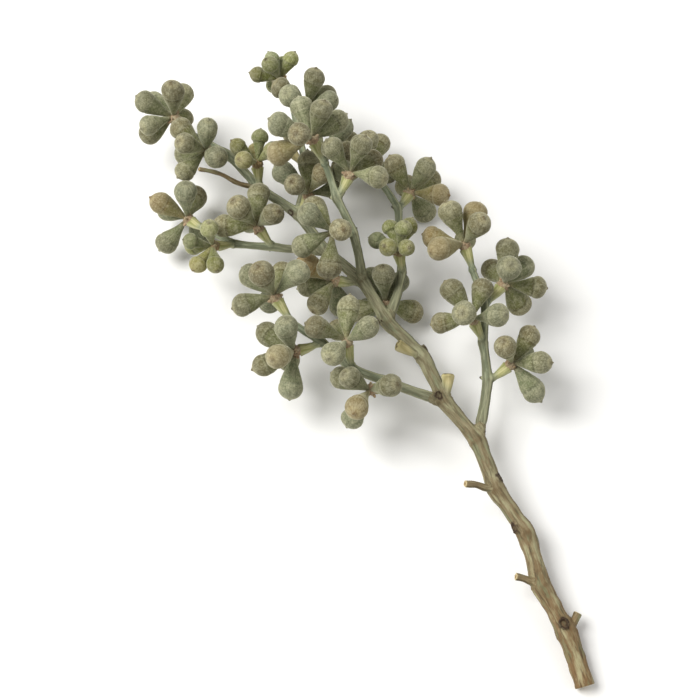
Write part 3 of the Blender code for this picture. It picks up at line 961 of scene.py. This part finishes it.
def readSurface(obj, made, limb, limbLength, isStem):
    # for each vertex: its place round and along the limb, its age, and what kind of skin it has
    samples = made["samples"]
    tree, limbTree = KDTree(len(samples)), KDTree(len(samples))
    for i, sample in enumerate(samples):
        tree.insert(sample[0], i)
        if sample[4]["of"] == "limb":
            limbTree.insert(sample[0], i)
    tree.balance()
    limbTree.balance()

    def outside(hit):
        return hit[2] - samples[hit[1]][1]

    def limbAge(travelled):
        share = travelled / limbLength
        loss, power = skinLook["stemAge"]
        return 1 - loss * share ** power if isStem else skinLook["shootAge"] * (1 - share)

    def paleEdge(share, of):
        start, over = skinLook["paleEdge"][of]
        return min(max(share - start, 0) / over, 1)

    places = coordinates(obj)
    count = len(places)
    grain = np.zeros((count, 3))
    age, stalk, onLimb, cutEnd, scar, edge = (np.zeros(count) for _ in range(6))
    for i, place in enumerate(places):
        best = min(tree.find_n(place, skinLook["nearAll"]), key=outside)
        centre, _, travelled, turn, skin = samples[best[1]]
        local = turn.transposed() @ (Vector(place) - centre)
        grain[i] = (local.x, local.y, travelled + local.z)
        if skin["of"] == "limb":
            onLimb[i] = 1
            # painted highlight: pale on the crests of the blunt edges, the same all round
            ridge = cos(limbLook["edges"]["count"] * atan2(local.y, local.x))
            edge[i] = paleEdge(ridge, "limb")
            age[i] = limbAge(travelled)
            continue
        # the skin of the limb runs out onto the foot of a stalk or a snag
        near = min(limbTree.find_n(place, skinLook["nearLimb"]), key=outside)
        own = min(max(outside(near) / skinLook["blend"], 0), 1)
        own = own * own * (3 - 2 * own)
        stalk[i] = skin["stalk"] * own
        age[i] = limbAge(samples[near[1]][2]) * (1 - own) + skin["age"] * own
        cutEnd[i] = skin["cutEnd"] * own
        if skin["of"] == "stalk":
            # painted highlight: pale along the margins of the flat stalk
            wide = stalkHalf(stalkShape["width"], min(travelled / skin["length"], 1))
            edge[i] = paleEdge(abs(local.x) / wide, "stalk")

    # a node swells on one side, not as a ring
    ring = limbLook["nodeRing"]
    nodePlaces = np.array([limb.node(number)[0] for number in nodesInside(limb)])
    toNode = np.min(np.linalg.norm(places[:, None] - nodePlaces[None], axis=2), axis=1)
    radii = np.linalg.norm(grain[:, :2], axis=1)
    alongFromNode = np.sqrt(np.maximum(toNode ** 2 - radii ** 2, 0))
    nodeMark = onLimb * np.exp(-(alongFromNode / ring["width"]) ** 2)
    marked = np.nonzero(nodeMark > ring["least"])[0]
    side = ring["mean"] + ring["contrast"] * noiseAt(grain[marked], ring["patch"])
    nodeMark[marked] *= np.clip(side, 0, 1)

    for point, direction, radius in made["cuts"]:
        beyond, apart = fromAxis(places, point, direction)
        inside = np.abs(beyond) < skinLook["cutDepth"]
        inside &= apart < radius * skinLook["cutShare"]
        cutEnd[inside] = 1
        grain[inside, 2] = 0
    unevenSize, unevenShare = scarLook["uneven"]
    middle, dark, varies = scarLook["middle"]
    for point, along, radius in made["scars"]:
        lengthwise, sideways = fromAxis(places, point, along)
        apart = np.hypot(sideways, lengthwise / scarLook["long"]) / radius
        near = np.nonzero(apart < scarLook["reach"])[0]
        uneven = noiseAt(places[near], unevenSize)
        wide = apart[near] * (1 + unevenShare * uneven)
        mark = np.exp(-((wide - 1) / scarLook["band"]) ** 2)
        mark += np.where(wide < middle, dark + varies * uneven, 0)
        scar[near] = np.maximum(scar[near], np.minimum(mark, 1))

    plain, old = ring["tone"]
    # the painted highlight on the crests is kept to young bark
    giveValues(obj, grain=grain, age=age, stalk=stalk, cutEnd=cutEnd, scar=scar,
               nodeMark=nodeMark * (plain + old * age),
               edge=edge * (1 - age) * skinLook["edgeTone"])
    return grain, age, cutEnd, nodeMark


def roughenBark(obj, grain, age, cutEnd, nodeMark):
    places, normals = coordinates(obj), coordinates(obj, "normal")
    ridge, lump, edges = limbLook["ridge"], limbLook["lump"], limbLook["edges"]

    def byAge(pair):
        return pair[0] + (pair[1] - pair[0]) * age

    stretched = grain * (1, 1, ridge["stretch"])
    streaks = ridge["crest"] - ridge["groove"] * np.abs(noiseAt(stretched, ridge["width"]))
    lumps = noiseAt(grain, lump["size"])
    angle = np.arctan2(grain[:, 1], grain[:, 0])
    radius = np.linalg.norm(grain[:, :2], axis=1)
    height = streaks * byAge(ridge["height"]) + lumps * byAge(lump["height"])
    height += np.cos(edges["count"] * angle) * radius * byAge(edges["depth"])
    height += nodeMark * byAge(limbLook["nodeRing"]["height"])
    moveVertices(obj, places + normals * (height * (1 - cutEnd))[:, None])


def addCollars(made):
    wider, middle = limbLook["collar"]
    for point, direction, reach, (wide, narrow) in collars:
        end = point + direction * reach
        radii = [wide * wider, wide * middle, narrow]
        addTube(made, [point, point.lerp(end, 0.5), end], radii)


scarLook = {
    "ring": (1.3 * mm, 2.1 * mm),  # from the thin end of the stem to the thick one
    "rim": 0.30,  # share of the ring
    "segments": (20, 10),
    "long": 1.3,
    "ahead": 0.9,  # share of the radius of the stem
    "sink": 0.1 * mm,
    "turnsDeg": (80, 215, 20, 140, 300, 60, 175, 340, 100, 250, 30),
    "reach": 2.2,  # shares of the ring, up to which it darkens the bark
    "band": 0.36,
    "uneven": (1.2 * mm, 0.3),  # size and strength
    "middle": (0.8, 0.5, 0.4),  # share of the ring, darkness, and how much that varies
}


def addScars(limb, made):
    # where old twigs dropped: swollen rings that lie on the stem
    small, large = scarLook["ring"]
    around, through = scarLook["segments"]
    deselect()
    bpy.ops.mesh.primitive_torus_add(major_radius=1, minor_radius=scarLook["rim"],
                                     major_segments=around, minor_segments=through)
    model = bpy.context.object
    model.data.transform(Matrix.Diagonal((1, scarLook["long"], 1, 1)))
    for number, turnDeg in enumerate(scarLook["turnsDeg"], 1):
        point, radius, along = limb.node(number)
        outward = turned(Vector((0, 0, 1)).cross(along).normalized(), along, turnDeg)
        ring = large + (small - large) * number / len(scarLook["turnsDeg"])
        place = (point + outward * (radius - scarLook["sink"])
                 + along * radius * scarLook["ahead"])
        across = along.cross(outward).normalized()
        turn = Matrix.Translation(place) @ Matrix((across, along, outward)).transposed().to_4x4()
        made["parts"].append(copied(model, turn @ Matrix.Scale(ring, 4)))
        made["scars"].append((place, along, ring))
    bpy.data.objects.remove(model)


knobLook = {
    "length": 1.7 * mm,
    "thick": (1.0 * mm, 0.45 * mm),
    "waist": 0.9,
    "stem": (3, 5, 8, 9, 10),
    "turnDeg": 77,  # from node to node, where no stalk gives the side
    "lean": 0.5,
    "root": 0.7,  # share of the radius of the limb
    "scar": 0.75 * mm,
}


def addKnobs(name, limb, made):
    # the dark stubs of dropped leaves, across from the stalks
    thick, thin = knobLook["thick"]
    for number in knobLook["stem"] if name == stemName else nodesInside(limb):
        point, radius, along = limb.node(number)
        away = turned(along.orthogonal(), along, knobLook["turnDeg"] * number)
        for stalkNode, leaves, *_ in umbelTable[name]:
            if stalkNode == number:
                away = -heading(*leaves)
        away = (away - along * away.dot(along)).normalized()
        away = (away + along * knobLook["lean"]).normalized()
        foot = point + away * radius * knobLook["root"]
        tip = point + away * (radius + knobLook["length"])
        radii = [thick, thick * knobLook["waist"], thin]
        addTube(made, [foot, foot.lerp(tip, 0.5), tip], radii)
        made["scars"].append((tip, along, knobLook["scar"]))


snagLook = {
    "bends": (0.33, 0.66),
    "kink": 0.03,  # share of the length
    "radii": (1.45, 1.15, 0.98, 1.04),
    "age": 0.75,
}


def addSnags(name, limb, made):
    # what is left of twigs that were cut off
    first, second = snagLook["bends"]
    for limbName, number, leaves, length, radius in snagTable:
        if limbName != name:
            continue
        point, ownRadius, _ = limb.node(number)
        direction, r = heading(*leaves), radius * mm
        end = point + direction * (ownRadius + length * mm)
        kink = direction.orthogonal().normalized() * length * mm * snagLook["kink"]
        path = [point, point.lerp(end, first) + kink, point.lerp(end, second) - kink, end]
        addTube(made, path, [r * share for share in snagLook["radii"]])
        skin = {"of": "snag", "stalk": 0, "age": snagLook["age"], "cutEnd": 0}
        made["samples"] += samplesAlong(path, [r] * len(path), skin)[0]
        made["cuts"].append((end, direction, r))


bareLook = {
    "top": 0.32,  # share of the height of a pad
    "dry": 0.55,
    "pitsDeg": (10, 130, 250),
    "pit": 0.6 * mm,
    "pitOut": 1.6 * mm,
    "pitRise": 1.0 * mm,
}


def addStalks(name, limb, made):
    for limbName, path, isBare in stalks:
        if limbName != name:
            continue
        made["parts"].append(bentStalk(path))
        under = min(zip(limb.points, limb.radii), key=lambda pair: (pair[0] - path[0]).length)[1]
        ahead = (path[1] - path[0]).normalized()
        radii, ways = zip(*limbLook["foot"])
        addTube(made, [path[0] + ahead * (under + way) for way in ways], radii)
        skin = {"of": "stalk", "stalk": 1, "age": 0, "cutEnd": bareLook["dry"] if isBare else 0}
        halves = stalkHalves(stalkShape["thickness"])
        samples, skin["length"] = samplesAlong(path, halves, skin)
        made["samples"] += samples
        if isBare:
            # the scarred top that the dropped nuts left
            ahead = (path[-1] - path[-2]).normalized()
            squash = Matrix.Diagonal((1.0, 1.0, bareLook["top"], 1))
            made["parts"].append(copied(padModel, frameAt(path[-1], ahead) @ squash))
            side = ahead.orthogonal().normalized()
            for turnDeg in bareLook["pitsDeg"]:
                pit = path[-1] + ahead * bareLook["pitRise"]
                pit += turned(side, ahead, turnDeg) * bareLook["pitOut"]
                made["scars"].append((pit, ahead, bareLook["pit"]))


def buildLimb(name, limb):
    isStem = name == stemName
    points, radii = list(limb.points), list(limb.radii)
    if not isStem:
        back = (points[0] - points[1]).normalized()
        points.insert(0, points[0] + back * limbLook["buried"])
        radii.insert(0, radii[0])
        radii[1] *= limbLook["knuckle"]
    samples, limbLength = samplesAlong(points, radii, {"of": "limb"})
    # the solids of a limb, and what its skin is read from
    made = {"parts": [], "samples": samples, "cuts": [], "scars": []}
    addTube(made, points, radii)
    if isStem:
        made["cuts"].append((points[0], (points[0] - points[1]).normalized(), radii[0]))
        addCollars(made)
        addScars(limb, made)
    addKnobs(name, limb, made)
    addSnags(name, limb, made)
    addStalks(name, limb, made)
    piece = joined(name + "_fine", made["parts"])
    voxel = limbLook["voxel"]["stem" if isStem else "shoot"]
    applyModifier(piece, "REMESH", {"mode": "VOXEL", "voxel_size": voxel})
    piece = keepLargest(piece)
    applyModifier(piece, "SMOOTH", limbLook["relax"])
    roughenBark(piece, *readSurface(piece, made, limb, limbLength, isStem))
    finished(piece, bark, name, limbLook["edgeDeg"])
    print(name, "built")


for name, limb in limbs.items():
    buildLimb(name, limb)
for model in models:
    bpy.data.objects.remove(model)
print("triangles:", sum(triangles.values()), "largest piece:", max(triangles.values()))


studio = {
    "floorSize": 8,
    "floorDrop": 0.05 * mm,
    "floor": {"Base Color": hexColour("#f4f3f0"), "Roughness": 0.9},
    "azimuth": -28,
    "elevation": 66,
    "lens": 70,
    "fill": 0.93,  # share of the picture that the sprig spans
    # power, width, place
    "lights": {"keyLight": (27, 0.9, (-0.7, 0.5, 1.3)), "sideLight": (4, 1.2, (1.0, -0.5, 0.9))},
    "world": 0.42,
}


def makeFloor():
    # smooth painted board with a dull coat: a pale and even ground
    deselect()
    bpy.ops.mesh.primitive_plane_add(size=studio["floorSize"],
                                     location=(0, 0, -studio["floorDrop"]))
    floor = bpy.context.object
    floor.name = "floor"
    floor.data.materials.append(newMaterial("paleFloor", studio["floor"])[0])
    floor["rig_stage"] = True


def makeLight(name, target):
    power, size, place = studio["lights"][name]
    bpy.ops.object.light_add(type="AREA", location=place)
    light = bpy.context.object
    light.name = name
    light.data.energy = power
    light.data.size = size
    light.rotation_euler = (target - Vector(place)).to_track_quat("-Z", "Y").to_euler()


def makeWorld():
    world = bpy.data.worlds.new("studio")
    world.use_nodes = True
    background = world.node_tree.nodes["Background"]
    background.inputs["Color"].default_value = (1, 1, 1, 1)
    background.inputs["Strength"].default_value = studio["world"]
    bpy.context.scene.world = world


def makeCamera():
    low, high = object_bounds()
    a, e = radians(studio["azimuth"]), radians(studio["elevation"])
    back = Vector((sin(a) * cos(e), -cos(a) * cos(e), sin(e)))
    bpy.ops.object.camera_add(rotation=back.to_track_quat("Z", "Y").to_euler())
    camera = bpy.context.object
    camera.data.lens = studio["lens"]
    camera.data.dof.use_dof = False
    # all places as the camera sees them: sideways, upwards and towards it
    turn = camera.rotation_euler.to_matrix()
    pieces = [coordinates(obj) for obj in bpy.data.objects if "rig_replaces" in obj]
    seen = np.concatenate(pieces) @ np.array(turn)
    across, up, _ = (seen.max(0) + seen.min(0)) / 2
    middle = turn @ Vector((across, up, back.dot(low + high) / 2))
    halfAngle = atan(camera.data.sensor_width / 2 / camera.data.lens)
    span = float(np.ptp(seen[:, :2], axis=0).max())
    camera.location = middle + back * (span / 2 / studio["fill"] / tan(halfAngle))
    bpy.context.scene.camera = camera
    return middle


makeFloor()
makeWorld()
middle = makeCamera()
for name in studio["lights"]:
    makeLight(name, middle)
bpy.context.scene.view_settings.view_transform = "Standard"
print("studio made")
